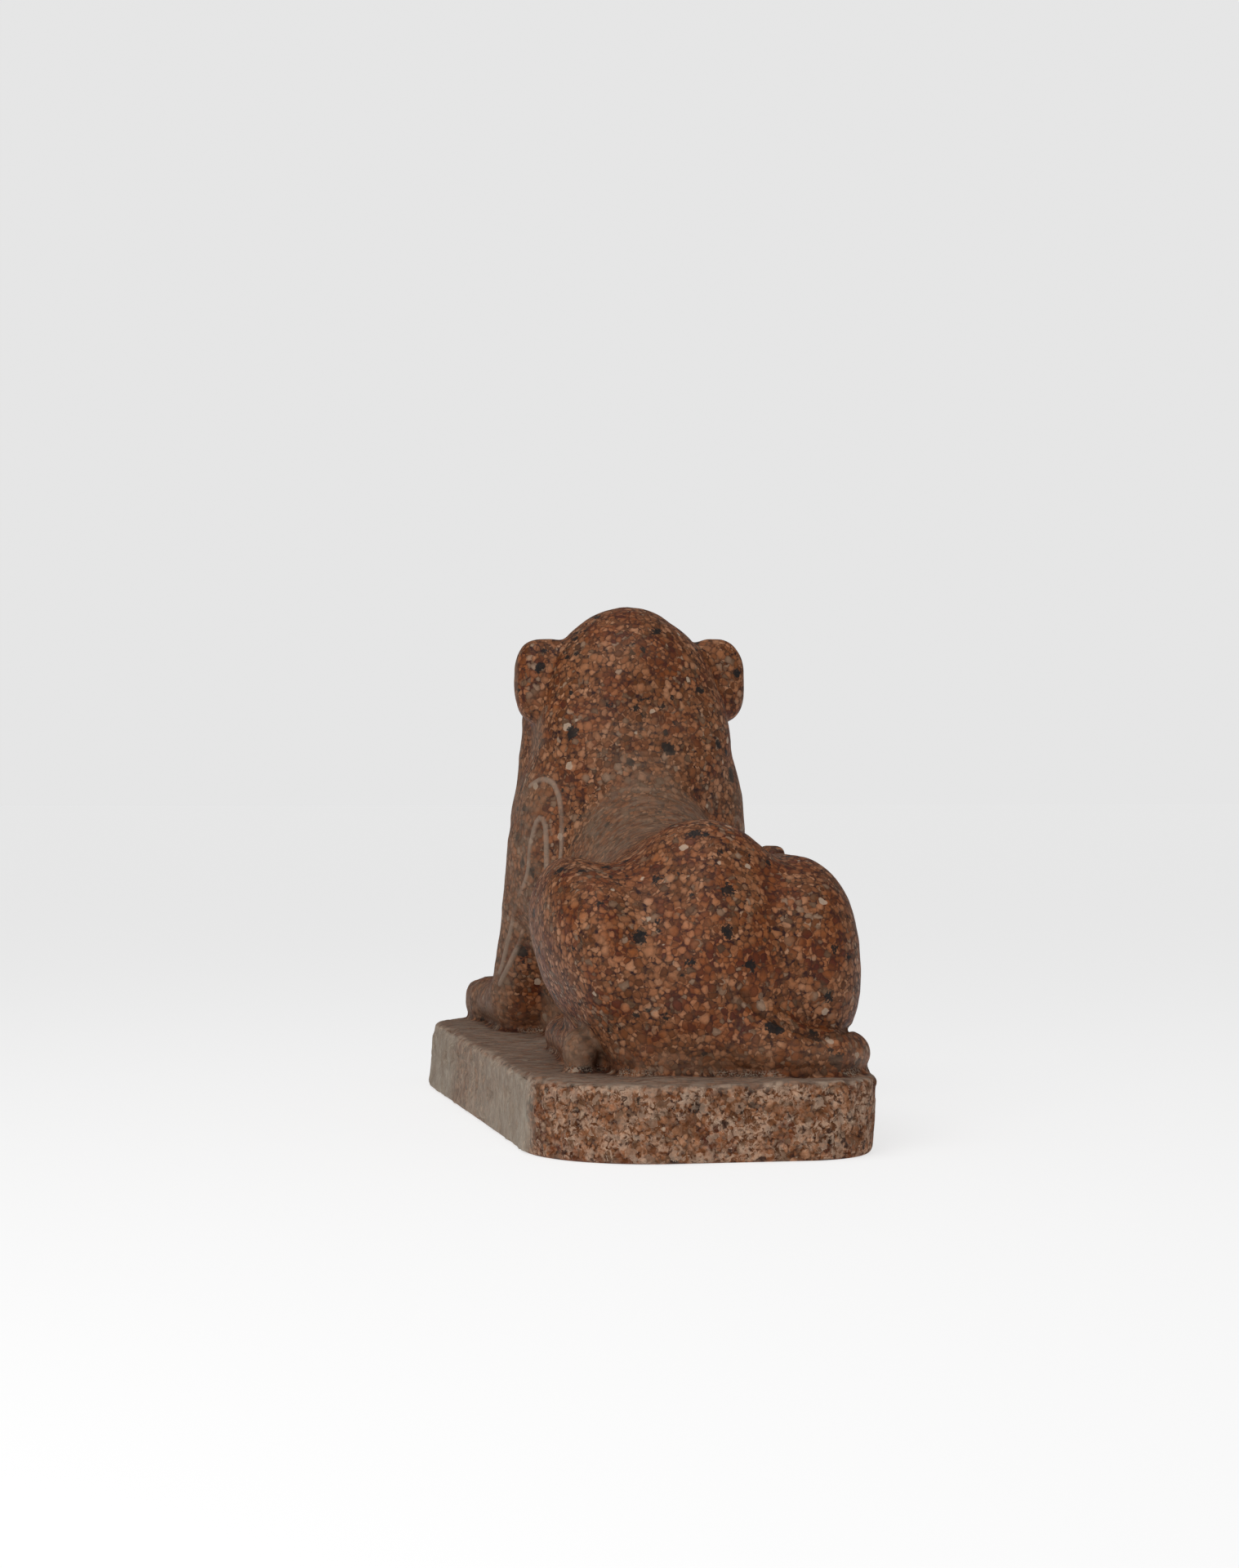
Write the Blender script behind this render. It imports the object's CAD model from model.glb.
# %% [markdown]
# # A lion carved in red granite
#
# The real object is one block of red granite: a lion that lies with its forelegs stretched
# out, and under it a low plinth that was never parted from it. Everything here is one stone,
# so everything here is one mesh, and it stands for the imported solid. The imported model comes
# first, because it fixes the place and the size of whatever is built on it.

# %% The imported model
import math

import bmesh
import bpy
import numpy as np
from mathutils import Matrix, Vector


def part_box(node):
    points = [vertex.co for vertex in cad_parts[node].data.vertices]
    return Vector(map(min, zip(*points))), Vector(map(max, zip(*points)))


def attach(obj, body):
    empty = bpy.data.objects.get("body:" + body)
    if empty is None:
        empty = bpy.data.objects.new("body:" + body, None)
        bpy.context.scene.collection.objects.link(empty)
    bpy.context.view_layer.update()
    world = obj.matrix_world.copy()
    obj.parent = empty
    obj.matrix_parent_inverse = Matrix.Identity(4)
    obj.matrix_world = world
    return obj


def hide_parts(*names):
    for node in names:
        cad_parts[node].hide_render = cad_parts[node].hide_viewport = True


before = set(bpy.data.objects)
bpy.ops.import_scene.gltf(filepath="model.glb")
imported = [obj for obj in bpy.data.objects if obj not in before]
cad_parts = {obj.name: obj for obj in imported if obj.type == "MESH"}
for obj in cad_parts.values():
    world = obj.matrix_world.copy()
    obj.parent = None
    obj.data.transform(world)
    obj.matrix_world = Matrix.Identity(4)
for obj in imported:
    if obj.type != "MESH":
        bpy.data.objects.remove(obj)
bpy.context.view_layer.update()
STATUE = "lion_statue"
low, high = (np.array(corner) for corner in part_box(STATUE))
print("the solid measures", ((high - low) * 1000).round(1), "mm")

# %% [markdown]
# ## The carver's grid
#
# A figure of this kind was drawn as squares on the faces of the block before the first cut.
# The same grid is kept here: side (to the lion's left), forward (from the rump) and up (from
# the top of the plinth), in squares of 5 mm. A shape is then a field: for any place it says
# how many squares that place lies outside the stone, and it is negative inside. Fields suit
# a carved block better than separate surfaces do, because haunch, flank and belly have no
# border between them. Two fields join by taking the smaller one, and a soft minimum leaves
# the hollow that a round abrasive leaves between two forms.

# %% Places on the grid and how forms meet
SQUARE = 0.005  # metres; the fields below count in squares
PLINTH_THICKNESS = 9.8
RUMP_FROM_RIGHT, REAR_LEDGE = 0.1069, 0.0315  # metres in from the solid's right and rear ends
RUMP = np.array([low[0] + RUMP_FROM_RIGHT, high[1] - REAR_LEDGE, PLINTH_THICKNESS * SQUARE])
FAR = 1e3  # farther than any place on the block


def to_metres(points):
    """Squares to metres: the lion faces -Y, so forward turns round."""
    return points * (SQUARE, -SQUARE, SQUARE) + RUMP


def join(a, b, soft):
    """The smaller of two distances, less a quarter of soft where they are equal."""
    overlap = np.maximum(soft - np.abs(a - b), 0) / soft
    return np.minimum(a, b) - overlap**2 * soft / 4


def within(a, b, soft):
    """What lies inside both: the larger distance, its edge rounded."""
    return -join(-a, -b, soft)


def carve(a, b, soft):
    """The first without the second: the larger of the first and minus the second."""
    return -join(-a, b, soft)


def along(x, stations, values):
    """Cubic pieces through the stations, with slopes that agree where the pieces meet."""
    stations, values = np.asarray(stations, float), np.asarray(values, float)
    slopes = np.gradient(values, stations)
    x = np.clip(x, stations[0], stations[-1])
    piece = np.clip(np.searchsorted(stations, x) - 1, 0, len(stations) - 2)
    step = stations[piece + 1] - stations[piece]
    t = (x - stations[piece]) / step
    rise = 3 * t**2 - 2 * t**3
    bend = slopes[piece] * (t**3 - 2 * t**2 + t) + slopes[piece + 1] * (t**3 - t**2)
    return values[piece] * (1 - rise) + values[piece + 1] * rise + step * bend


print("one square is", SQUARE * 1000, "mm, and the rump starts at", RUMP)

# %% [markdown]
# ## Masses
#
# A carver blocks a figure out in a few masses. Each one here is a field with a box round it,
# so that it is worked out only near itself, and most of them are made once and folded onto
# both flanks by taking the side without its sign. An egg is an ellipsoid; a power above 2
# squares its shoulders off. A tube is a round limb through a few rows of place and radius.


# %% Eggs and tubes
MARGIN = 1.5  # squares left free round a mass and round the whole lattice


class Mass:
    """A field, the box that holds it, and how it meets what is already there."""

    def __init__(self, distance, low, high, soft, both=True, axis=0.0, how=join):
        self.distance, self.soft, self.both, self.axis, self.how = distance, soft, both, axis, how
        self.low, self.high = low - soft - MARGIN, high + soft + MARGIN

    def meet(self, body, points):
        """The body's distances with this mass joined to them or carved from them."""
        own = points - (self.axis, 0, 0)
        if self.both:
            own[:, 0] = np.abs(own[:, 0])
        at = np.flatnonzero(((own > self.low) & (own < self.high)).all(axis=1))
        if len(at):
            body[at] = self.how(body[at], self.distance(own[at]), self.soft)
        return body


def superellipse(parts, radii, power):
    """(the power mean of parts over radii, less 1) divided by how steeply it grows."""
    shares = np.abs(parts) / radii + 1e-6
    level = (shares**power).sum(axis=1) ** (1 / power)
    slope = (shares / level[:, None]) ** (power - 1) / radii
    return (level - 1) / np.maximum(np.sqrt((slope**2).sum(axis=1)), 1e-3)


def egg(centre, radii, soft, power=2.0, lean=0.0, **place):
    """A superellipse in three directions about centre, its top tipped to the left by lean
    degrees."""
    centre, radii = np.array(centre, float), np.array(radii, float)
    c, s = math.cos(math.radians(lean)), math.sin(math.radians(lean))
    turn = np.array([[c, 0, s], [0, 1, 0], [-s, 0, c]])
    reach = np.abs(turn) @ radii
    return Mass(
        lambda points: superellipse((points - centre) @ turn, radii, power),
        centre - reach, centre + reach, soft, **place,
    )


def resampled(rows, count):
    """Rows at equal steps on the smooth curve through the given rows."""
    rows = np.array(rows, float)
    travelled = np.append(0, np.cumsum(np.linalg.norm(np.diff(rows[:, :3], axis=0), axis=1)))
    stops = np.linspace(0, travelled[-1], count)
    return np.column_stack([along(stops, travelled, column) for column in rows.T])


def tube(rows, count, soft, **place):
    """The least of (distance to a straight length, less its radius there) over all lengths."""
    rows = resampled(rows, count)

    def distance(points):
        total = np.full(len(points), FAR)
        for start, end in zip(rows[:-1], rows[1:]):
            step = end[:3] - start[:3]
            share = np.clip((points - start[:3]) @ step / (step @ step), 0, 1)
            gap = np.linalg.norm(points - start[:3] - share[:, None] * step, axis=1)
            total = np.minimum(total, gap - start[3] - share * (end[3] - start[3]))
        return total

    thick = rows[:, 3:]
    least, most = (rows[:, :3] - thick).min(axis=0), (rows[:, :3] + thick).max(axis=0)
    return Mass(distance, least, most, soft, **place)


def slopes_of(distance, points, level, probe=0.05):
    """How fast a field grows along side, forward and up: its rise over a short probe."""
    steps = np.eye(3) * probe
    return np.column_stack([distance(points + step) - level for step in steps]) / probe


def laid_on(rows, distance, lift):
    """A path moved along the slope of a field until each row rises from it by lift of its
    radius."""
    rows = np.array(rows, float)
    for _ in range(8):
        level = distance(rows[:, :3])
        slope = slopes_of(distance, rows[:, :3], level)
        step = (level - lift * rows[:, 3]) / (slope**2).sum(axis=1)
        rows[:, :3] -= step[:, None] * slope
    return rows


ball = egg((0, 0, 0), (2, 2, 2), 1)
print("a ball of radius 2 is", ball.distance(np.array([[3.0, 0, 0]])), "squares away at 3")

# %% [markdown]
# ## Trunk, haunches and neck
#
# From behind, most of what shows is the rump between two haunches, and above it the straight
# back that climbs to a broad upright neck. The trunk is an arch whose width and height
# follow stations from rump to chest. The neck is a column whose back, front and width follow
# stations from the plinth to the crown. Both are superellipses whose radii change on the way.

# %% Trunk and hindquarters
TRUNK = np.array([  # forward, half width, height of the back
    (4, 10.5, 30.5), (14, 11.6, 31.4), (26, 12.4, 30.7), (36, 12.2, 30.9), (43, 12.1, 32.4),
    (50, 12.2, 35.6), (56, 12.5, 37.6), (64, 12.9, 38.0), (78, 12.5, 34.0),
])
TRUNK_BASE, TRUNK_POWER = -1.5, 2.12
TRUNK_MIDDLE, TRUNK_REACH, TRUNK_END_SOFT = 42, 34, 5


def trunk_distance(points):
    """An arch between base and back, cut off smoothly at its two ends."""
    width = along(points[:, 1], TRUNK[:, 0], TRUNK[:, 1])
    top = along(points[:, 1], TRUNK[:, 0], TRUNK[:, 2])
    parts = np.column_stack([points[:, 0], points[:, 2] - (top + TRUNK_BASE) / 2])
    arch = superellipse(parts, np.column_stack([width, (top - TRUNK_BASE) / 2]), TRUNK_POWER)
    return within(arch, np.abs(points[:, 1] - TRUNK_MIDDLE) - TRUNK_REACH, TRUNK_END_SOFT)


right_haunch = egg((-11.7, 19.2, 14.1), (8.9, 17.2, 13.4), 2.4, 2.5, lean=6, both=False)
HIND = [
    Mass(trunk_distance, np.array([-14.0, 6, -3]), np.array([14.0, 78, 39]), 1),
    # rump, left haunch, right haunch, and the middle and foot of the rump between them
    egg((0.2, 14.8, 15.2), (11.6, 14.0, 16.0), 3.0, both=False),
    egg((13.6, 19.2, 14.9), (7.1, 17.2, 12.9), 6.5, 2.0, lean=19, both=False),
    right_haunch,
    egg((0.6, 13.6, 11.5), (13.2, 12.3, 11.0), 5.0, 2.2, both=False),
    egg((3.4, 10.2, 3.6), (9.2, 7.4, 8.0), 4.0, 2.4, both=False),
]
print(len(HIND), "masses make the hindquarters")

# %% Neck, skull and shoulders
HEAD_AXIS = -0.5
NECK = np.array([  # height, back of the neck, front of the chest, half width
    (6, 63.0, 78.0, 12.4), (16, 62.0, 79.4, 13.2), (26, 60.0, 80.5, 14.4), (31, 57.4, 80.5, 14.7),
    (35, 54.6, 80.4, 14.7), (38, 53.2, 80.0, 14.5), (42, 53.6, 78.4, 14.35), (46, 55.0, 76.2, 14.0),
    (50, 56.6, 75.4, 12.9), (55, 58.8, 74.7, 11.1), (60, 62.0, 74.0, 9.0),
])
NECK_POWER = 2.6
NECK_MIDDLE, NECK_REACH, NECK_END_SOFT = 26.5, 31.5, 6


def neck_distance(points):
    """A squarish column whose back, front and width change with height."""
    back, front, half = (along(points[:, 2], NECK[:, 0], column) for column in NECK.T[1:])
    parts = np.column_stack([points[:, 0], points[:, 1] - (back + front) / 2])
    column = superellipse(parts, np.column_stack([half, (front - back) / 2]), NECK_POWER)
    return within(column, np.abs(points[:, 2] - NECK_MIDDLE) - NECK_REACH, NECK_END_SOFT)


FORE = [
    Mass(neck_distance, np.array([-15.0, 53, -5]), np.array([15.0, 81, 58]), 2.2, axis=HEAD_AXIS),
    egg((0.6, 68, 51.5), (11.0, 11.8, 11.2), 3.0, axis=HEAD_AXIS, both=False),
    egg((11.0, 67, 26.5), (5.7, 10.0, 12.5), 4.5, 2.7),
]
print(len(FORE), "masses make neck, skull and shoulders")

# %% [markdown]
# ## Limbs and tail
#
# The forelegs lie straight out in front, the hind feet are tucked along the flanks, and the
# tail runs low round the right haunch, where its end lies on the thigh. The limbs and the
# tail are tubes, and paws, tuft and heel are eggs. The tail's end is laid on the thigh's own
# field, so that it rests there instead of floating.

# %% Limbs and tail
TAIL = [
    (-1, 6, 5.5, 5.0), (-5, 3.4, 4.5, 4.3), (-9.5, 2.4, 3.1, 3.3), (-14, 3, 2.5, 2.7),
    (-17.3, 5.8, 2.3, 2.4), (-18.3, 11, 2.2, 2.2), (-18.4, 18, 2.2, 2.15), (-18.3, 25, 2.2, 2.1),
]
TAIL_END = [
    (-18.6, 29.6, 4.0, 2.1), (-18.6, 31.6, 8.5, 2.1), (-17.8, 32.2, 13.5, 2.15),
    (-16.4, 31.4, 18.5, 2.0), (-14.4, 30.2, 22.8, 1.8), (-13.0, 29.4, 25.2, 1.5),
]
UPPER_ARM = [(12.2, 67.5, 27, 5.0), (13.3, 71, 16, 4.9), (14.5, 74, 6, 4.7)]
FORELEG = [(14.7, 74.6, 4.2, 4.4), (15.2, 83, 3.8, 3.8), (15.5, 93, 3.4, 3.4)]
HIND_FOOT = [(13.4, 16, 2, 2.2), (14.2, 23, 2.8, 3.1), (13.7, 33, 2.4, 2.6), (13.2, 42, 2.2, 2.9)]
HEEL = (16.3, 13.6, 2.6)
PAW = 15.5
LIMBS = [
    tube(UPPER_ARM, 6, 2.5),
    tube(FORELEG, 5, 1.6),
    egg((PAW, 97.8, 2.9), (4.2, 6.9, 3.8), 2.0, 2.5),
    tube(HIND_FOOT, 6, 1.8),
    tube(TAIL[:5], 12, 1.7, both=False),
    tube([*TAIL[3:], *laid_on(TAIL_END, right_haunch.distance, 0.25)], 20, 1.6, both=False),
    egg((-12.75, 29.4, 26.5), (1.45, 2.9, 1.9), 0.6, 3.4, both=False),
    egg(HEEL, (2.3, 3.0, 2.9), 0.6, 2.3, both=False),
]


def cleft(s):
    """A groove between two toes, s squares beside the paw's middle, spreading to its front."""
    rows = [
        (PAW + s, 98.5, 7.0, 0.5),
        (PAW + 1.1 * s, 103, 5.6, 0.6),
        (PAW + 1.15 * s, 105.5, 1.5, 0.6),
    ]
    return tube(rows, 6, 0.9, how=carve)


TOES = [cleft(s) for s in (-2.05, 0, 2.05)]
print(len(LIMBS), "limbs, with", len(TOES), "clefts in each forepaw")

# %% [markdown]
# ## Head
#
# The photograph shows only the back of the head, with two blocky rounded ears. The face is
# finished after the old convention for a resting lion: a ruff round it, a broad straight
# nose, full muzzle and calm eyes under low brows.

# %% Ears, ruff and face
angles = np.radians(np.linspace(30, -90, 14))
below = angles < 0
ruff = np.column_stack([
    12.4 * np.cos(angles),
    74.4 + np.where(below, 3.6 * np.sin(angles) ** 2, -4 * np.sin(angles)),
    48.0 + 8.6 * np.sin(angles),
    np.full(14, 2.5),
])
MANE_EDGE = [(12.0, 73.4, 46, 2.7), (12.3, 75, 41, 3.1), (12.3, 75.6, 35, 3), (12.4, 75, 27, 3)]
NOSE = [(0, 76, 56, 3.4), (0, 81, 53.4, 2.9), (0, 84.6, 50.6, 2.5)]
BROW = [(1.8, 79.6, 56.6, 1), (4.8, 78.6, 57.4, 1.1), (8, 75.6, 56.6, 1)]
LIP_CLEFT = [(0, 87.0, 49.4, 0.5), (0, 86.9, 47.6, 0.5), (0, 86.2, 46, 0.45)]
MOUTH = [(0, 86, 46, 0.5), (2.6, 85.6, 45.1, 0.5), (5, 83.4, 45.4, 0.4)]
HEAD = [
    # ear, its hollow, and the edge of the mane under it
    egg((12.7, 68.0, 51.9), (4.4, 3.3, 6.2), 1.3, 2.8, axis=HEAD_AXIS),
    egg((13.4, 71.8, 52.3), (2.2, 1.7, 4.0), 1.0, axis=HEAD_AXIS, how=carve),
    tube(MANE_EDGE, 8, 3.2, axis=HEAD_AXIS),
    # ruff, face, cheek, muzzle, nose, chin and brow
    tube(ruff, 14, 1.4, axis=HEAD_AXIS),
    egg((0, 73.5, 51.0), (9.6, 8.2, 9.0), 2.0, 2.2, axis=HEAD_AXIS),
    egg((5.4, 77.6, 48.6), (4.6, 4.4, 4.6), 2.5, 2.2, axis=HEAD_AXIS),
    egg((0, 80.2, 47.6), (5.4, 5.6, 4.0), 2.0, 2.8, axis=HEAD_AXIS),
    tube(NOSE, 5, 1.8, axis=HEAD_AXIS),
    egg((0, 81.4, 44.0), (3.8, 3.6, 2.0), 1.4, 2.4, axis=HEAD_AXIS),
    tube(BROW, 6, 1.8, axis=HEAD_AXIS),
    # eye socket and eyeball, nose pad and nostril, cleft of the lip and mouth
    egg((5.3, 81.6, 53.7), (3.1, 2.4, 1.8), 0.9, 2.2, axis=HEAD_AXIS, how=carve),
    egg((5.2, 78.9, 53.6), (2.5, 2.3, 1.5), 0.3, axis=HEAD_AXIS),
    egg((0, 85.6, 50.4), (2.9, 1.6, 1.3), 0.5, 2.6, axis=HEAD_AXIS),
    egg((1.5, 87.0, 49.9), (0.7, 0.9, 0.5), 0.3, axis=HEAD_AXIS, how=carve),
    tube(LIP_CLEFT, 4, 0.5, axis=HEAD_AXIS, how=carve),
    tube(MOUTH, 8, 0.5, axis=HEAD_AXIS, how=carve),
]
print(len(HEAD), "masses make the head")

# %% [markdown]
# ## Plinth
#
# The slab under the lion has rounded corners, the two left ones rounder than the two right
# ones, and is a little broader towards the front. Its sides aren't quite upright: the
# underside stands out at the front left and in at the rear right. Its field is the distance
# to a rectangle with round corners, seen from above, within the distance to its two faces.

# %% Plinth and the whole block
PLINTH_HALF = 22.1
PLINTH_REAR, PLINTH_FRONT = -6.3, 107.5
PLINTH_MIDDLE = 2.0
SPLAY = 0.235 / 0.221 - 1  # the width at the front over the width at the rear, less 1
CORNERS = {"rear left": 16.0, "rear right": 10.4, "front left": 17.0, "front right": 10.0}
FRONT_LEFT_LEAN, REAR_RIGHT_LEAN = 1.4, 0.8
EDGE_WEAR = 0.9
UNCUT_HEIGHT = 1.0  # below it the figure's outline runs straight down
FIGURE_SINK = 2  # how far the figure reaches down into the plinth


def plinth_outline(points):
    """How far outside the rounded outline, with the splay taken out of the side first."""
    share = (points[:, 1] - PLINTH_REAR) / (PLINTH_FRONT - PLINTH_REAR)
    depth = np.clip(-points[:, 2] / PLINTH_THICKNESS, 0, 1)
    side = points[:, 0] - PLINTH_MIDDLE
    side = side - depth * FRONT_LEFT_LEAN * share * np.clip(side / PLINTH_HALF, 0, 1)
    side = side - depth * REAR_RIGHT_LEAN * (1 - share) * np.clip(-side / PLINTH_HALF, 0, 1)
    side = side / (1 + SPLAY * share)
    forward = points[:, 1] - (PLINTH_REAR + PLINTH_FRONT) / 2
    rear = np.where(side > 0, CORNERS["rear left"], CORNERS["rear right"])
    front = np.where(side > 0, CORNERS["front left"], CORNERS["front right"])
    radius = np.where(forward < 0, rear, front)
    a = np.abs(side) - PLINTH_HALF + radius
    b = np.abs(forward) - (PLINTH_FRONT - PLINTH_REAR) / 2 + radius
    return np.hypot(np.maximum(a, 0), np.maximum(b, 0)) + np.minimum(np.maximum(a, b), 0) - radius


def plinth_distance(points):
    """The outline, and the two level faces, with worn edges where they meet."""
    level = np.abs(points[:, 2] + PLINTH_THICKNESS / 2) - PLINTH_THICKNESS / 2
    return within(plinth_outline(points), level, EDGE_WEAR)


def figure_distance(points):
    """All masses; hind and fore parts meet more softly the higher they do."""
    points = np.column_stack([points[:, :2], np.maximum(points[:, 2], UNCUT_HEIGHT)])
    hind, fore = np.full(len(points), FAR), np.full(len(points), FAR)
    for mass in HIND:
        hind = mass.meet(hind, points)
    for mass in FORE:
        fore = mass.meet(fore, points)
    body = join(hind, fore, 2.2 + 4 * np.clip((points[:, 2] - 26) / 10, 0, 1))
    for mass in LIMBS + TOES + HEAD:
        body = mass.meet(body, points)
    return body


def block_distance(points):
    """The figure down to its sink, joined to the plinth with a narrow fillet."""
    figure = within(figure_distance(points), -FIGURE_SINK - points[:, 2], 0.3)
    return join(figure, plinth_distance(points), 0.8)


print("the plinth is", round((PLINTH_FRONT - PLINTH_REAR) * SQUARE * 1000, 1), "mm long")

# %% [markdown]
# ## Lines of low relief
#
# On each upper arm the mane ends in thin raised lines: an outer arch, an inner arch whose
# outer leg runs on down the foreleg, and a short line below them. The tail is parted from
# the rump by a crease. Such a line is a thin tube laid along the skin: half sunk it is a
# raised line, and carved away it is a crease. The photograph shows the lines of the left arm.
# The right one is plainer: it has no outer arch, because the stone there shows as smooth.

# %% Raised lines and creases
OUTER_ARCH = [
    (14.9, 61.5, 36.4), (14.3, 59.9, 37.3), (13.5, 58.9, 37.4), (12.6, 57.8, 36.9),
    (12.0, 57.1, 35.6), (11.7, 56.7, 33.9), (11.5, 56.5, 32.1), (11.5, 56.3, 29.9),
    (11.6, 56.0, 27.4), (11.9, 56.0, 24.5),
]
INNER_ARCH = [
    (18.4, 71.0, 9.1), (17.7, 69.2, 12.8), (17.0, 67.3, 16.5), (16.4, 64.3, 20.2),
    (16.1, 61.3, 22.6), (15.8, 60.1, 24.9), (15.5, 59.5, 28.0), (15.2, 59.1, 29.7),
    (14.9, 58.8, 30.9), (14.6, 58.6, 31.7), (14.1, 58.1, 31.9), (13.7, 57.7, 30.9),
    (13.6, 57.5, 29.2), (13.6, 57.4, 27.1), (13.6, 57.4, 24.5),
]
LOWER_LINE = [
    (15.2, 66.2, 15.6), (15.8, 67.0, 13.8), (16.6, 68.2, 11.9), (17.4, 69.4, 9.9),
    (18.3, 71.1, 7.3),
]
TAIL_CREASE = [
    (-2.2, 0.4, 10.6), (-3.6, 0.5, 8.9), (-6.1, 0.2, 7.3), (-8.6, -0.1, 6.2), (-11.8, 0.1, 5.4),
    (-15.2, 2.4, 5.2), (-17.0, 6.0, 5.0), (-17.5, 10.0, 4.8), (-17.4, 16.0, 4.8),
    (-17.4, 22.0, 4.8),
]


def line(rows, radius, lift, soft, how=join):
    """A tube of one radius whose rows are first laid on the block's skin, raised from it by
    lift of the radius."""
    rows = np.column_stack([np.array(rows, float), np.full(len(rows), radius)])
    return tube(laid_on(rows, block_distance, lift), 3 * len(rows), soft, both=False, how=how)


LEFT, RIGHT = 1, -1
ARM_LINES = [(OUTER_ARCH, [LEFT]), (INNER_ARCH, [LEFT, RIGHT]), (LOWER_LINE, [LEFT, RIGHT])]
RIDGE = {"radius": 0.3, "lift": -0.1, "soft": 0.45}
GROOVE = {"radius": 0.42, "lift": 0.15, "soft": 0.6, "how": carve}
RAISED = [line(np.array(rows) * (arm, 1, 1), **RIDGE) for rows, arms in ARM_LINES for arm in arms]
SUNK = [line(TAIL_CREASE, **GROOVE)]
print(len(RAISED), "raised lines and", len(SUNK), "crease")

# %% [markdown]
# ## From field to skin
#
# To get a skin, the field is sampled on a lattice. A cell that the surface crosses gets one
# point, at the mean of the crossings on its edges, and four cells round a crossed edge share
# a face. Sampling all of it finely would be wasteful, so a coarse lattice first says where
# the surface is near. Two steps down the slope then put each point on the surface itself.


# %% The skin of a field
def nets(field, origin, step):
    """Points at the mean crossing of each crossed cell, and a face round each crossed edge."""
    inside = field < 0
    shape = np.array(field.shape) - 1
    total, count = np.zeros((*shape, 3), np.float32), np.zeros(shape, np.float32)
    crossings = []
    for axis in range(3):
        ends = [[slice(None)] * 3, [slice(None)] * 3]
        ends[0][axis], ends[1][axis] = slice(None, -1), slice(1, None)
        start, end = (tuple(e) for e in ends)
        cross = inside[start] != inside[end]
        t = np.where(cross, field[start] / np.where(cross, field[start] - field[end], 1), 0)
        crossings.append(cross)
        a, b = [other for other in range(3) if other != axis]
        for da in (0, 1):
            for db in (0, 1):
                part = [slice(None)] * 3
                part[a], part[b] = slice(da, da + shape[a]), slice(db, db + shape[b])
                here = cross[tuple(part)]
                count += here
                total[..., axis] += t[tuple(part)] * here
                total[..., a] += da * here
                total[..., b] += db * here
    used = count > 0
    index = np.full(used.shape, -1)
    index[used] = np.arange(used.sum())
    points = (np.argwhere(used) + total[used] / count[used][:, None]) * step + origin
    quads = []
    for axis in range(3):
        a, b = [other for other in range(3) if other != axis]
        at = np.argwhere(crossings[axis])
        unit = np.eye(3, dtype=int)
        ring = np.stack([at - unit[a] - unit[b], at - unit[b], at, at - unit[a]], axis=1)
        quad = index[ring[..., 0], ring[..., 1], ring[..., 2]]
        back = inside[at[:, 0], at[:, 1], at[:, 2]] ^ (axis == 1)
        quad[back] = quad[back][:, ::-1]
        quads.append(quad)
    return points, np.concatenate(quads)


STEP = 0.31
COARSE = 4  # steps in a coarse one
NEAR = 0.95 * COARSE * STEP + 0.2  # a little over half a coarse cell's diagonal
count = np.ceil((high - low) / SQUARE / STEP / COARSE).astype(int) + 3
corner = np.array([low[0] - RUMP[0], RUMP[1] - high[1], low[2] - RUMP[2]]) / SQUARE - MARGIN
rough = np.stack(np.meshgrid(*[np.arange(n) for n in count], indexing="ij"), axis=-1)
middles = rough.reshape(-1, 3) * COARSE * STEP + corner + (COARSE - 1) / 2 * STEP
near = block_distance(middles).reshape(count)
field = near.astype(np.float32).repeat(COARSE, 0).repeat(COARSE, 1).repeat(COARSE, 2)
at = np.argwhere(np.abs(field) < NEAR)
field[at[:, 0], at[:, 1], at[:, 2]] = block_distance(at * STEP + corner)
points, faces = nets(field, corner, STEP)
print(len(at), "of", field.size, "places worked out;", len(points), "points in the skin")


# %% Onto the true surface
def settled(points, distance, most=0.5):
    """Each point moved down the slope of a field by (its distance over how steep it is), but
    never by more than most."""
    level = distance(points)
    slope = slopes_of(distance, points, level)
    steep = np.maximum((slope**2).sum(axis=1), 0.25)
    return points - np.clip(level / steep, -most, most)[:, None] * slope


points = settled(settled(points, block_distance), block_distance)
farthest = float(np.abs(block_distance(points)).max())
print("the farthest point is now", round(farthest, 3), "squares off")

# %% [markdown]
# ## Finer faces where the lines run
#
# The lattice is coarser than the raised lines are wide, so the faces near them are divided
# twice, and the points there settle again, now onto the field with the lines in it.


# %% Faces divided near the lines
def nearest(masses, points):
    """The least distance to any of the masses, each worked out only inside its own box."""
    total = np.full(len(points), FAR)
    for mass in masses:
        at = np.flatnonzero(((points > mass.low) & (points < mass.high)).all(axis=1))
        total[at] = np.minimum(total[at], mass.distance(points[at]))
    return total


def lined_distance(points):
    """The block with its raised lines and creases."""
    body = block_distance(points)
    for mass in RAISED + SUNK:
        body = mass.meet(body, points)
    return body


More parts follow.
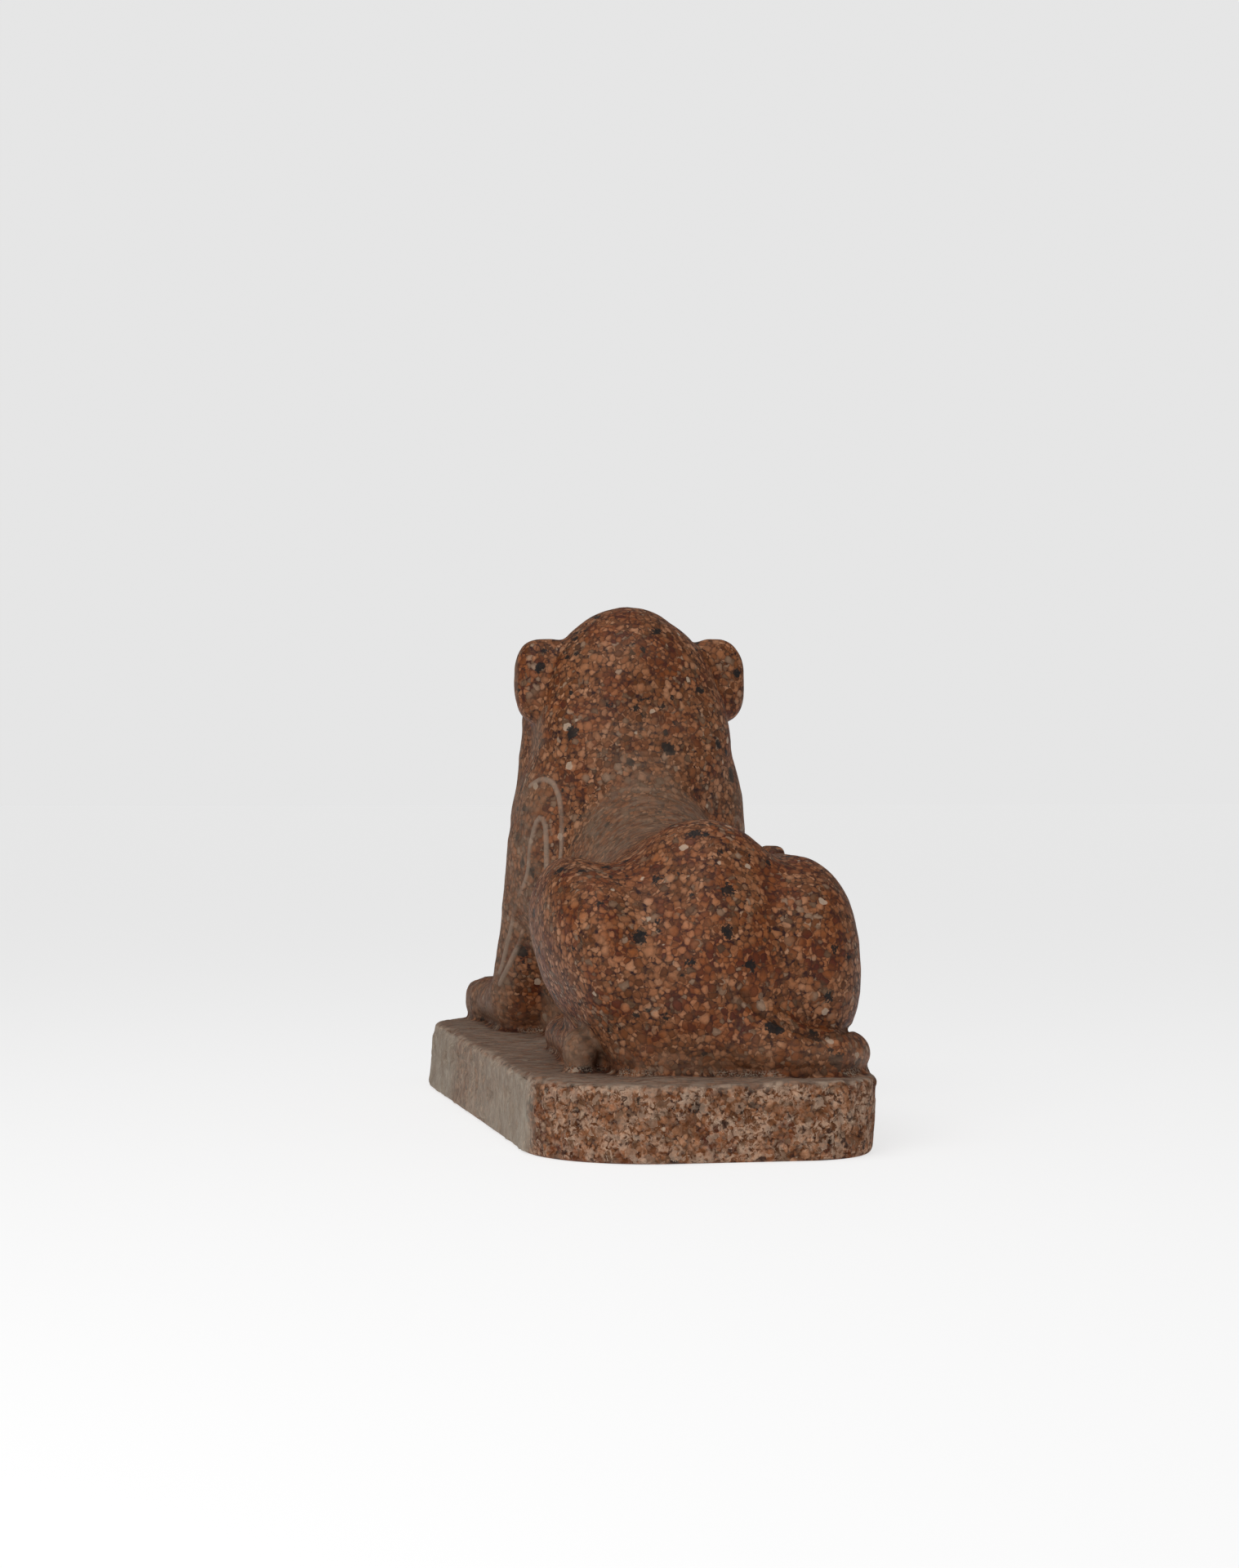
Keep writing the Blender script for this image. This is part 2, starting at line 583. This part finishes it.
net = bmesh.new()
rows = [net.verts.new(p) for p in points.tolist()]
for ring in faces.tolist():
    net.faces.new([rows[k] for k in ring])
for reach in (1.3, 0.8):
    net.verts.ensure_lookup_table()
    points = np.array([v.co for v in net.verts])
    close = nearest(RAISED + SUNK, points) < reach
    net.verts.index_update()
    edges = [e for e in net.edges if close[e.verts[0].index] and close[e.verts[1].index]]
    bmesh.ops.subdivide_edges(net, edges=edges, cuts=1, use_grid_fill=True)
    print(len(edges), "edges cut,", len(net.verts), "points")
bmesh.ops.triangulate(net, faces=net.faces)
net.verts.index_update()
points = np.array([v.co for v in net.verts])
faces = np.array([[v.index for v in f.verts] for f in net.faces])
net.free()
at = np.flatnonzero(nearest(RAISED + SUNK, points) < 1.2)
for _ in range(5):
    points[at] = settled(points[at], lined_distance, 0.1)
print(len(at), "of", len(points), "points settled onto the lines")

# %% [markdown]
# ## The worked surface
#
# Polished by hand, the figure is never quite even, and the sides of the plinth were only
# dressed, so they are rough, with pits where crystals broke out and chips along the edges.
# Each is a random number at the corners of a grid of cubes, blended smoothly between them,
# and it moves the points along the slope of the field. The underside stays flat, and above
# the plinth's middle the points move twice as far.


# %% Unevenness, pits and chips
CUBES = 64  # along each side, before the random numbers repeat


def uneven(points, size, seed):
    """Random numbers from -1 to 1 at the corners of cubes of the given size, smoothly blended."""
    table = np.random.default_rng(seed).uniform(-1, 1, (CUBES, CUBES, CUBES))
    base = np.floor(points / size).astype(int)
    t = points / size - base
    t = t * t * (3 - 2 * t)
    total = np.zeros(len(points))
    for corner in np.ndindex(2, 2, 2):
        weight = np.where(corner, t, 1 - t).prod(axis=1)
        total += weight * table[tuple(((base + corner) % CUBES).T)]
    return total


def ramp(x, start, end):
    """0 before start, 1 after end, and an even S between them."""
    t = np.clip((x - start) / (end - start), 0, 1)
    return t * t * (3 - 2 * t)


slope = slopes_of(block_distance, points, block_distance(points))
slope /= np.maximum(np.linalg.norm(slope, axis=1), 1e-6)[:, None]
dressed = ramp(-points[:, 2], 0.0, 0.7) * ramp(np.abs(slope[:, 2]), 0.9, 0.5)
rim = ramp(np.abs(plinth_outline(points)), 1.6, 0.3) * ramp(np.abs(points[:, 2]), 1.3, 0.2)
foot = ramp(points[:, 2] + PLINTH_THICKNESS, 1.8, 0.3) * dressed
change = 0.10 * uneven(points, 6.5, 1) + 0.05 * uneven(points, 2.7, 2)
change = change + 0.02 * uneven(points, 1.1, 3)
tooled = 0.14 * uneven(points, 2.3, 4) + 0.10 * uneven(points, 1.1, 5)
pits = 0.3 * ramp(uneven(points, 1.7, 6), 0.35, 0.7)
chips = 0.55 * (rim + foot) * ramp(uneven(points, 2.4, 7), 0.3, 0.75)
change += dressed * (tooled - pits)
change -= chips
change *= ramp(slope[:, 2], -0.95, -0.7) + (points[:, 2] > -PLINTH_THICKNESS / 2)
points += np.clip(change, -0.8, 0.3)[:, None] * slope
moved = float(np.abs(change).mean()) * SQUARE * 1000
print("the worked surface moves by", round(moved, 2), "mm on average")

# %% [markdown]
# ## One mesh
#
# The skin goes into Blender as one mesh. Most of it is plain stone that needs fewer faces
# than the lattice gives, so a Decimate modifier thins it, least where the form bends most,
# and its result is kept as the mesh itself.

# %% The mesh
FACES_KEPT = 195000
places = to_metres(points)
a, b, c = (places[faces[:, k]] for k in range(3))
volume = np.einsum("ij,ij->i", a, np.cross(b, c)).sum() / 6
if volume < 0:
    faces = faces[:, ::-1]
skin = bpy.data.meshes.new("granite lion")
skin.from_pydata(places.tolist(), [], faces.tolist())
skin.validate()
lion = bpy.data.objects.new("granite_lion", skin)
bpy.context.scene.collection.objects.link(lion)
fewer = lion.modifiers.new("fewer faces on plain stone", "DECIMATE")
fewer.ratio = FACES_KEPT / len(faces)
evaluated = lion.evaluated_get(bpy.context.evaluated_depsgraph_get())
finished = bpy.data.meshes.new_from_object(evaluated)
lion.modifiers.clear()
lion.data = finished
bpy.data.meshes.remove(skin)
finished.shade_smooth()
print(len(finished.polygons), "faces enclose", round(abs(volume) * 1000, 2), "litres")

# %% [markdown]
# ## Where the stone looks different
#
# The stone is the same throughout, but its surface isn't. The figure is polished and worn.
# The sides of the plinth were only dressed, its left side is weathered grey, its top holds a
# film of dust, and pale residue has stayed in the joint round the figure. On the figure a
# haze lies on the back, the heel, the arms and the flanks that turn to the side. The fields
# that shaped the block say where each of these is, so each becomes a number on every vertex.

# %% What the fields say at each vertex
mesh = lion.data
spots = np.empty(len(mesh.vertices) * 3, np.float32)
mesh.vertices.foreach_get("co", spots)
places = (spots.reshape(-1, 3).astype(float) - RUMP) / (SQUARE, -SQUARE, SQUARE)
forward, up = places[:, 1], places[:, 2]
slope = slopes_of(block_distance, places, block_distance(places))
slope /= np.maximum(np.linalg.norm(slope, axis=1), 1e-6)[:, None]
sideways, upward = np.abs(slope[:, 0]), slope[:, 2]
figure_gap, rim_gap = figure_distance(places), plinth_outline(places)
to_left = slopes_of(plinth_outline, places, rim_gap)[:, 0]
heel_gap = np.linalg.norm((places - HEEL) / (2.8, 3.5, 3.3), axis=1)
print("the fields are read at", len(places), "vertices")

# %% Masks on the vertices
on_side = ramp(-up, 0.0, 0.5) * ramp(np.abs(upward), 0.95, 0.6)
on_top = ramp(figure_gap, 0.2, 1.0) * ramp(upward, 0.5, 0.9) * ramp(np.abs(up), 1.4, 0.6)
on_figure = ramp(up, 0.3, 1.2)
left_rear = ramp(to_left, 0.93, 0.995)
left_front = ramp(to_left, 0.8, 0.94) * ramp(forward, 55, 75)
back = ramp(forward, 24, 34) * ramp(forward, 60, 50) * ramp(upward, 0.1, 0.6) * ramp(up, 22, 26)
heel = ramp(heel_gap, 1.25, 1.0)
arm = ramp(forward, 54, 60) * ramp(up, 42, 34) * ramp(sideways, 0.35, 0.75)
flank = ramp(sideways, 0.93, 1.0) * (0.3 + 0.5 * ramp(forward, 38, 56))
MASKS = {
    "plinth_side": on_side,
    "plinth_top": on_top,
    "grey_side": on_side * np.maximum(left_rear, left_front),
    "joint": ramp(np.abs(figure_gap), 1.0, 0.1) * ramp(up, 1.1, 0.3) * ramp(up, -0.7, -0.2),
    "plinth_edge": ramp(np.abs(up + 0.2), 1.0, 0.1) * ramp(np.abs(rim_gap), 1.1, 0.2),
    "turned": on_figure * np.max([flank, 0.85 * back, heel, 0.7 * arm], axis=0),
    "low_dust": on_figure * ramp(up, 6, 1.5),
    "worn_line": ramp(nearest(RAISED, places), 0.22, 0.02),
    "crease": ramp(nearest(SUNK, places), 0.3, 0.0),
}
for name, values in MASKS.items():
    mesh.attributes.new(name, "FLOAT", "POINT").data.foreach_set("value", values.astype(np.float32))
    print(name, "covers", round(float(values.mean()) * 100, 1), "% of the vertices")

# %% [markdown]
# ## Shader sums as plain expressions
#
# A stone like this needs a few dozen sums on its sockets. Wiring each by hand would hide the
# idea, so a socket is wrapped in a small class: an ordinary expression such as
# 1 - mask * 0.4 then adds the Math nodes by itself.


# %% Sockets that can be added and multiplied
class Socket:
    """One output of a node, which sums with numbers and other sockets."""

    def __init__(self, recipe, socket):
        self.recipe, self.socket = recipe, socket

    def sum(self, operation, *terms):
        """A Math node over the terms."""
        return self.recipe.node("ShaderNodeMath", {"operation": operation}, dict(enumerate(terms)))

    def __add__(self, other):
        return self.sum("ADD", self, other)

    def __sub__(self, other):
        return self.sum("SUBTRACT", self, other)

    def __rsub__(self, other):
        return self.sum("SUBTRACT", other, self)

    def __mul__(self, other):
        return self.sum("MULTIPLY", self, other)

    def __gt__(self, other):
        return self.sum("GREATER_THAN", self, other)

    def __lt__(self, other):
        return self.sum("LESS_THAN", self, other)

    __radd__, __rmul__ = __add__, __mul__

    def least(self, other):
        return self.sum("MINIMUM", self, other)

    def most(self, other):
        return self.sum("MAXIMUM", self, other)

    def ramp(self, start, end):
        """0 at start, 1 at end, an even S between them; start may be the larger."""
        settings = {"interpolation_type": "SMOOTHSTEP"}
        if start < end:
            return self.recipe.node("ShaderNodeMapRange", settings, {0: self, 1: start, 2: end})
        return 1 - self.recipe.node("ShaderNodeMapRange", settings, {0: self, 1: end, 2: start})


class Recipe:
    """The nodes of one material, from its shader back."""

    def __init__(self, name):
        self.material = bpy.data.materials.new(name)
        self.material.use_nodes = True
        self.tree = self.material.node_tree
        self.shader = self.tree.nodes["Principled BSDF"]

    def node(self, kind, settings=None, inputs=None, out=0):
        """Adds a node: settings first, then values or links by the sockets' names or numbers."""
        node = self.tree.nodes.new(kind)
        for key, value in (settings or {}).items():
            if key == "stops":
                self.colour_stops(node.color_ramp, value)
            else:
                setattr(node, key, value)
        for key, value in (inputs or {}).items():
            self.feed(node.inputs[key], value)
        if isinstance(out, tuple):
            return tuple(Socket(self, node.outputs[name]) for name in out)
        return Socket(self, node.outputs[out])

    def feed(self, socket, value):
        """Links a socket or sets its own value."""
        if isinstance(value, Socket):
            self.tree.links.new(value.socket, socket)
        else:
            socket.default_value = value

    def colour_stops(self, ramp, stops):
        """Sets a ramp's stops from places and colours."""
        while len(ramp.elements) < len(stops):
            ramp.elements.new(0.5)
        for element, (place, colour) in zip(ramp.elements, stops):
            element.position = place
            element.color = colour

    def mix(self, share, first, second, how="MIX"):
        """Two colours: the first where share is 0, the second where it is 1."""
        settings = {"data_type": "RGBA", "blend_type": how}
        return self.node("ShaderNodeMix", settings, {0: share, 6: first, 7: second}, out=2)

    def vector(self, operation, *terms):
        """Vector Math."""
        return self.node("ShaderNodeVectorMath", {"operation": operation}, dict(enumerate(terms)))

    def mask(self, name):
        """A number kept on the vertices."""
        return self.node("ShaderNodeAttribute", {"attribute_name": name}, out="Fac")


LIGHT, GLOSS = 0.62, 0.012  # the light that falls on the stone, and the gloss over it


def seen(red, green, blue):
    """A colour as a screen shows it, 0 to 255, as the share of light that the stone returns:
    its linear light, less the gloss that lies over every place, over the light that falls."""
    shares = np.array([red, green, blue]) / 255
    linear = np.where(shares > 0.04045, ((shares + 0.055) / 1.055) ** 2.4, shares / 12.92)
    return (*(np.maximum(linear - GLOSS, 0.002) / LIGHT).tolist(), 1.0)


print("salmon feldspar is", [round(c, 3) for c in seen(126, 84, 60)])

# %% [markdown]
# ## Red granite
#
# Worn red granite looks like a heap of pebbles set in dark paste: salmon and rust feldspar
# of 3 to 6 mm with light middles, greyer quartz, and black mica that gathers in small
# feathery clots. One pack of Voronoi cells looks like a mosaic, so the stone is laid as the
# eye reads it: the paste first, then three packs of rounded crystals over it, the finest one
# first. A crystal is the part of a cell within a random reach of its middle and clear of its
# border, and how deep inside it a place lies gives its rounding, its tone and its dark rim.

# %% The stone's own helpers
stone = Recipe("red granite")
place = stone.node("ShaderNodeTexCoord", out="Object")


def noise(scale, detail=2.0, where=place, out=0):
    """A smooth random number, with about scale waves in a metre."""
    inputs = {"Vector": where, "Scale": scale, "Detail": detail}
    return stone.node("ShaderNodeTexNoise", {}, inputs, out=out)


def bent(scale, reach, where=place):
    """The place moved by up to reach metres along a noise of the given scale."""
    push = stone.vector("SUBTRACT", noise(scale, 1.0, where, out="Color"), (0.5, 0.5, 0.5))
    return stone.vector("MULTIPLY_ADD", push, (2 * reach,) * 3, where)


def shade(colour, amount):
    """A colour times a number."""
    grey = stone.node("ShaderNodeCombineColor", {}, {0: amount, 1: amount, 2: amount})
    return stone.mix(1.0, colour, grey, "MULTIPLY")


def crystals(where, scale, reach, spread):
    """Each cell's chances, and how far inside its crystal a place is: its random reach less
    the distance from the cell's middle."""
    inputs = {"Vector": where, "Scale": scale}
    colour, middle = stone.node("ShaderNodeTexVoronoi", {}, inputs, out=("Color", "Distance"))
    chances = stone.node("ShaderNodeSeparateColor", {}, {0: colour}, out=(0, 1, 2))
    return chances, chances[1] * spread + (reach - spread / 2) - middle


def packed(where, scale, reach, spread):
    """Crystals that also end at the border of their cell, so that neighbours stay apart."""
    chances, inside = crystals(where, scale, reach, spread)
    edges, inputs = {"feature": "DISTANCE_TO_EDGE"}, {"Vector": where, "Scale": scale}
    border = stone.node("ShaderNodeTexVoronoi", edges, inputs)
    return chances, inside.least(border)


def minerals(stops, chance):
    """A ramp of colours as seen, at even places."""
    even = np.linspace(0, 1, len(stops))
    settings = {"stops": [(at, seen(*colour)) for at, colour in zip(even, stops)]}
    return stone.node("ShaderNodeValToRGB", settings, {0: chance})


FELDSPAR = [
    (76, 47, 31), (96, 60, 40), (108, 69, 47), (117, 77, 53), (126, 85, 60), (142, 103, 78),
]
RUST = [(66, 35, 18), (88, 48, 26), (104, 59, 35), (116, 70, 44), (130, 84, 58)]
QUARTZ = [(70, 54, 42), (86, 69, 55), (100, 83, 69), (120, 103, 88)]
PACKS = ((290, 0.62, 0.3, 1.0), (200, 0.6, 0.35, 0.82), (138, 0.54, 0.4, 0.5))
print("the packs hold cells of", [round(1000 / pack[0], 1) for pack in PACKS], "mm")

# %% Paste, then three packs of crystals
wavy = bent(620, 0.0006, bent(170, 0.0016))
rusty = noise(42, 2.0).ramp(0.47, 0.6)
greyish = noise(52, 2.0, stone.vector("ADD", place, (0.3, 0.1, 0.2))).ramp(0.5, 0.62)
grain = 0.5 * noise(1400, 3.0) + 0.5 * noise(560, 2.0, wavy)
body = stone.mix(noise(420, 3.0).ramp(0.35, 0.65), seen(44, 30, 21), seen(80, 55, 40))
body = stone.mix(rusty * 0.5, body, seen(66, 39, 20))
depth = 0.0
for scale, reach, spread, share in PACKS:
    (kind, size, mineral), inside = packed(wavy, scale, reach, spread)
    colour = stone.mix(rusty * 0.8, minerals(FELDSPAR, mineral), minerals(RUST, mineral))
    quartz = (kind < 0.05).most((kind < 0.34) * greyish)
    colour = stone.mix(quartz * 0.75, colour, minerals(QUARTZ, mineral))
    colour = shade(colour, 0.64 + 0.4 * inside.ramp(0.0, 0.32) + 0.9 * (grain - 0.5))
    cover = inside.ramp(-0.01, 0.07) * (size < share)
    body = stone.mix(cover, body, colour)
    depth = (1 - cover) * depth + cover * inside.ramp(0.0, 0.3)
print("the crystals take", len(stone.tree.nodes), "nodes")

# %% Black mica and pale grains
(chance, _, _), inside = crystals(bent(300, 0.0022, bent(90, 0.004)), 74, 0.36, 0.24)
clot = (chance > 0.82) * (inside - 0.62 * noise(620, 5.0) + 0.27).ramp(0.0, 0.08)
(chance, _, _), inside = crystals(bent(500, 0.0012, bent(150, 0.003)), 140, 0.46, 0.2)
speck = (chance > 0.93) * (inside - 0.5 * noise(900, 4.0) + 0.16).ramp(0.0, 0.1)
black = clot.most(speck)
(chance, _, _), inside = crystals(wavy, 150, 0.4, 0.3)
body = stone.mix((chance < 0.03) * inside.ramp(0.02, 0.1) * 0.7, body, seen(152, 134, 117))
body = stone.mix(black * 0.93, body, seen(30, 26, 24))
print("with mica, the stone has", len(stone.tree.nodes), "nodes")

# %% [markdown]
# ## Dressed sides, dust and residue
#
# Where the stone was only dressed, its crystals are bruised: blotches of paler and darker
# stone, flakes with light rims and dark pits where grains fell out. The left side is
# weathered to an even grey beige with fine upright tool marks. Dust greys the plinth's top
# and the hazed forms, and pale residue has stayed in the joint. Each is one more colour laid
# over the stone, by its mask and a noise that breaks up the mask's edge.

# %% Dressed sides
side, top, grey, joint, edge, turned, low_dust, worn, crease = (stone.mask(name) for name in MASKS)
blotch = noise(75, 4.0, bent(130, 0.004))
broken = noise(330, 5.0, bent(500, 0.002, bent(180, 0.004)))
bruised = stone.mix(broken.ramp(0.4, 0.6), seen(62, 42, 30), seen(168, 142, 122))
body = stone.mix(side * (0.14 + 0.4 * blotch.ramp(0.42, 0.62)), body, bruised)
body = stone.mix(side * blotch.ramp(0.46, 0.34) * 0.45, body, seen(74, 50, 36))
(chance, _, tint), inside = crystals(bent(420, 0.002, bent(130, 0.004)), 165, 0.55, 0.3)
flake = side * (chance > 0.5) * inside.ramp(0.03, 0.1)
body = stone.mix(flake * 0.45, body, stone.mix(tint, seen(92, 70, 55), seen(158, 134, 116)))
rim = side * (chance > 0.5) * inside.ramp(0.0, 0.03) * inside.ramp(0.08, 0.03)
rim = rim * noise(260, 2.0).ramp(0.48, 0.56)
body = stone.mix(rim * 0.65, body, seen(172, 150, 132))
pit = side * noise(150, 4.0, bent(200, 0.003)).ramp(0.6, 0.68)
body = stone.mix(pit * 0.85, body, seen(46, 34, 27))
upright = stone.vector("MULTIPLY", place, (1.0, 1.0, 0.06))
scratch = noise(1500, 3.0, upright)
grey_stone = stone.mix(scratch.ramp(0.35, 0.65), seen(114, 104, 93), seen(144, 135, 123))
grey_stone = stone.mix(noise(45, 3.0).ramp(0.4, 0.65) * 0.5, grey_stone, seen(110, 97, 85))
body = stone.mix(grey * (0.74 + 0.26 * noise(120, 3.0)), body, grey_stone)
print("with dressed sides, the stone has", len(stone.tree.nodes), "nodes")

# %% Dust, wear and residue
film = noise(220, 4.0, stone.vector("MULTIPLY", place, (0.35, 1.0, 1.0)))
dust = stone.mix(film, seen(84, 70, 59), seen(128, 114, 102))
body = stone.mix(top * (0.5 + 0.4 * film.ramp(0.35, 0.65)), body, dust)
haze = stone.mix(film, seen(80, 65, 53), seen(116, 98, 84))
body = stone.mix(turned * (0.4 + 0.4 * film.ramp(0.3, 0.7)), body, haze)
body = stone.mix(low_dust * (0.1 + 0.25 * film.ramp(0.35, 0.7)), body, seen(140, 110, 90))
body = stone.mix(edge * 0.45 * noise(150, 3.0).ramp(0.42, 0.6), body, seen(150, 132, 116))
body = stone.mix(worn * 0.7, body, seen(124, 108, 95))
body = stone.mix(crease * (0.25 + 0.4 * noise(300, 3.0)), body, seen(56, 40, 30))
patch = noise(34, 2.0).ramp(0.46, 0.58)
residue = joint * patch * noise(900, 4.0).ramp(0.44, 0.6)
body = stone.mix(joint * 0.6 * noise(80, 2.0).ramp(0.6, 0.42), body, seen(44, 33, 26))
body = stone.mix(residue * 0.65, body, seen(150, 136, 120))
print("with dust and residue, the stone has", len(stone.tree.nodes), "nodes")

# %% [markdown]
# ## Gloss and fine relief
#
# Worn polish shines softly. The crystals are a little smoother than the paste, and the
# dressed sides, the dust and the haze are duller. What is finer than a face of the mesh is
# bump: the crystals stand proud of the paste by about a tenth of a millimetre, mica lies
# lower, and the dressed sides are rough. What reads as form is in the mesh already.

# %% Gloss and relief
BUMP_HEIGHT = 0.0004  # metres
polish = 0.40 + 0.16 * grain + 0.16 * (1 - depth)
rough = (side * 0.3).most(top * 0.25).most(joint * 0.25).most(turned * 0.15)
stone.feed(stone.shader.inputs["Base Color"], body)
stone.feed(stone.shader.inputs["Roughness"], polish + rough)
relief = depth * 0.5 + grain * 0.3 - black * 0.15
relief = relief + side * (flake * 1.2 + noise(240, 4.0) * 2.4 - pit * 1.5) + grey * scratch * 1.2
inputs = {"Strength": 0.6, "Distance": BUMP_HEIGHT, "Height": relief}
bump = stone.node("ShaderNodeBump", {}, inputs, out="Normal")
stone.feed(stone.shader.inputs["Normal"], bump)
stone.shader.inputs["IOR"].default_value = 1.45
stone.shader.inputs["Specular IOR Level"].default_value = 0.3
lion.data.materials.append(stone.material)
print("the finished stone has", len(stone.tree.nodes), "nodes")

# %% [markdown]
# ## The view
#
# The photograph was taken from behind the lion and a little to its left. In the size chosen
# here that is about 1.8 m away and level with the base of the neck, so the camera stands
# there and looks straight ahead. A level camera keeps upright edges upright.

# %% Camera
FROM_RUMP = (0.4023, 1.792, 0.1839)  # metres to the left, back and up
ASIDE = math.atan(671 / 3600)
camera_data = bpy.data.cameras.new("camera")
camera_data.lens = 67.5
camera_data.sensor_width = 36
camera = bpy.data.objects.new("camera", camera_data)
camera.location = RUMP + FROM_RUMP
camera.rotation_euler = (math.radians(90), 0, math.radians(180) - ASIDE)
bpy.context.scene.collection.objects.link(camera)
bpy.context.scene.camera = camera
print("the camera stands", round(math.degrees(ASIDE), 1), "degrees off the lion's own line")

# %% [markdown]
# ## Floor, light and air
#
# A plain pale floor runs into a pale backdrop. The floor glows a little by itself, so that
# it stays pale under soft light. The world lights the stone weakly and shows brighter only
# to the camera. A large softbox above and one behind model the forms without hard shadows.

# %% Floor
floor_data = bpy.data.meshes.new("floor")
floor_data.from_pydata([(-30, -30, 0), (30, -30, 0), (30, 30, 0), (-30, 30, 0)], [], [(0, 1, 2, 3)])
floor = bpy.data.objects.new("floor", floor_data)
pale = bpy.data.materials.new("pale floor")
pale.use_nodes = True
painted = pale.node_tree.nodes["Principled BSDF"]
painted.inputs["Base Color"].default_value = (0.3, 0.3, 0.3, 1)
painted.inputs["Roughness"].default_value = 0.9
painted.inputs["Emission Color"].default_value = (1, 1, 1, 1)
painted.inputs["Emission Strength"].default_value = 0.7
floor_data.materials.append(pale)
bpy.context.scene.collection.objects.link(floor)
print("the floor is", floor.dimensions.x, "m wide")

# %% Air
AIR_LIGHT, BACKDROP_LIGHT = 0.26, 0.79
world = bpy.data.worlds.new("air")
world.use_nodes = True
air = world.node_tree
air.nodes["Background"].inputs["Color"].default_value = (1, 1, 1, 1)
air.nodes["Background"].inputs["Strength"].default_value = AIR_LIGHT
backdrop = air.nodes.new("ShaderNodeBackground")
backdrop.inputs["Color"].default_value = (1, 1, 1, 1)
backdrop.inputs["Strength"].default_value = BACKDROP_LIGHT
rays = air.nodes.new("ShaderNodeLightPath")
choice = air.nodes.new("ShaderNodeMixShader")
air.links.new(rays.outputs["Is Camera Ray"], choice.inputs[0])
air.links.new(air.nodes["Background"].outputs[0], choice.inputs[1])
air.links.new(backdrop.outputs[0], choice.inputs[2])
air.links.new(choice.outputs[0], air.nodes["World Output"].inputs["Surface"])
bpy.context.scene.world = world
bpy.context.scene.view_settings.view_transform = "Standard"
print("the backdrop shows", round(BACKDROP_LIGHT / AIR_LIGHT, 1), "times as bright as it lights")

# %% Softboxes
SOFTBOXES = [  # name, place in metres, watts, width in metres
    ("softbox above", (0.35, 0.55, 1.7), 11, 1.2),
    ("softbox behind", (0.9, 1.7, 0.7), 10, 0.9),
]
for name, where, energy, size in SOFTBOXES:
    light_data = bpy.data.lights.new(name, "AREA")
    light_data.size = size
    light_data.energy = energy
    light = bpy.data.objects.new(name, light_data)
    light.location = where
    away = light.location - Vector(RUMP)
    light.rotation_euler = away.to_track_quat("Z", "Y").to_euler()
    bpy.context.scene.collection.objects.link(light)
    print(name, "shines from", round(away.length, 2), "m")

# %% [markdown]
# ## Hand over
#
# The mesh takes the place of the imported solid, rides on its only body and carries the
# granite slot. The two boxes are written down, so that the size of what is seen can be held
# against the size of the solid.

# %% Hand over
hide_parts(STATUE)
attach(lion, "root")
